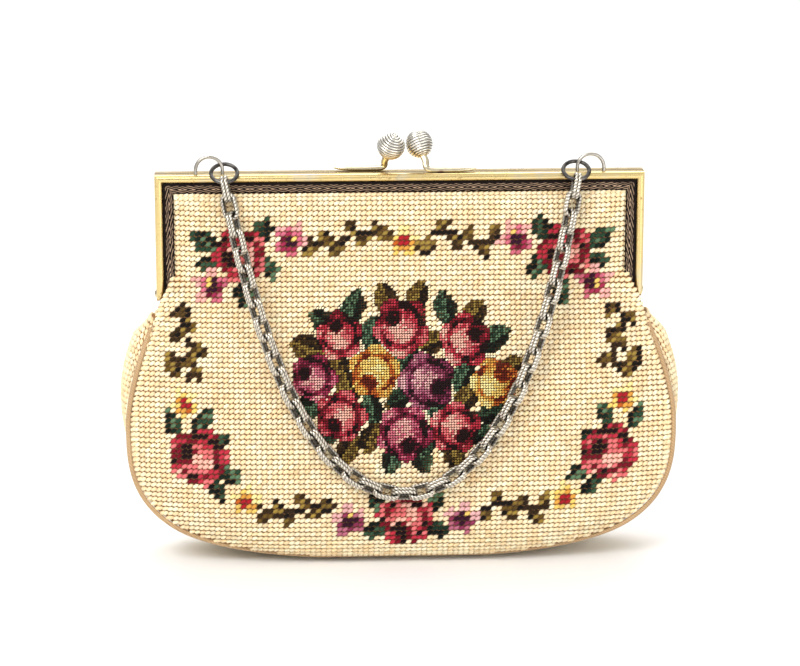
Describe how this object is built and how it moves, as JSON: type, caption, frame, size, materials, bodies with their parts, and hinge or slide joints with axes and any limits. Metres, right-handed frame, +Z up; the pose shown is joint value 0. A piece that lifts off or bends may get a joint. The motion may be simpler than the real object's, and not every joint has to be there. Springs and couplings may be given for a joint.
{
  "type": "needlepoint frame handbag",
  "caption": "Padded needlepoint handbag with a floral panel, a hinged gilt kiss-lock frame and a swinging chain handle of doubled links.",
  "frame": {"origin": "on the floor, under the middle of the bag's base", "axes": "+X to the right seen from the front, +Y to the back, +Z up"},
  "size_m": [0.2544, 0.0708, 0.1943],
  "materials": {
    "needlepoint": "wool stitches",
    "piping": "satin cord",
    "lining": "satin",
    "gilt": "worn gilt",
    "dark_band": "oxidised, engraved",
    "silver": "aged silver plate",
    "gunmetal": "dark"
  },
  "bodies": {
    "bag": {"front_panel": "needlepoint", "back_panel": "needlepoint", "gusset": "needlepoint", "front_piping": "piping", "back_piping": "piping", "front_lining": "lining", "back_lining": "lining", "gusset_lining": "lining", "front_frame": "gilt", "front_band": "dark_band", "left_rivet": "gilt", "right_rivet": "gilt", "front_clasp_arm": "gilt", "front_clasp_ball": "silver", "left_bail": "silver", "right_bail": "silver", "left_ring": "gunmetal", "right_ring": "gunmetal"},
    "back_frame": {"back_panel_top": "needlepoint", "top_lining": "lining", "back_frame": "gilt", "back_band": "dark_band", "back_clasp_arm": "gilt", "back_clasp_ball": "silver"},
    "handle": {"chain": "silver"}
  },
  "joints": [
    {"name": "frame_hinge", "type": "hinge", "parent": "bag", "child": "back_frame", "pos_m": [0, 0, 0.121], "axis": [-1, 0, 0], "range_deg": [0, 60]},
    {"name": "handle_swing", "type": "hinge", "parent": "bag", "child": "handle", "pos_m": [0, -0.01137, 0.17355], "axis": [-1, 0, 0], "range_deg": [0, 165]}
  ]
}
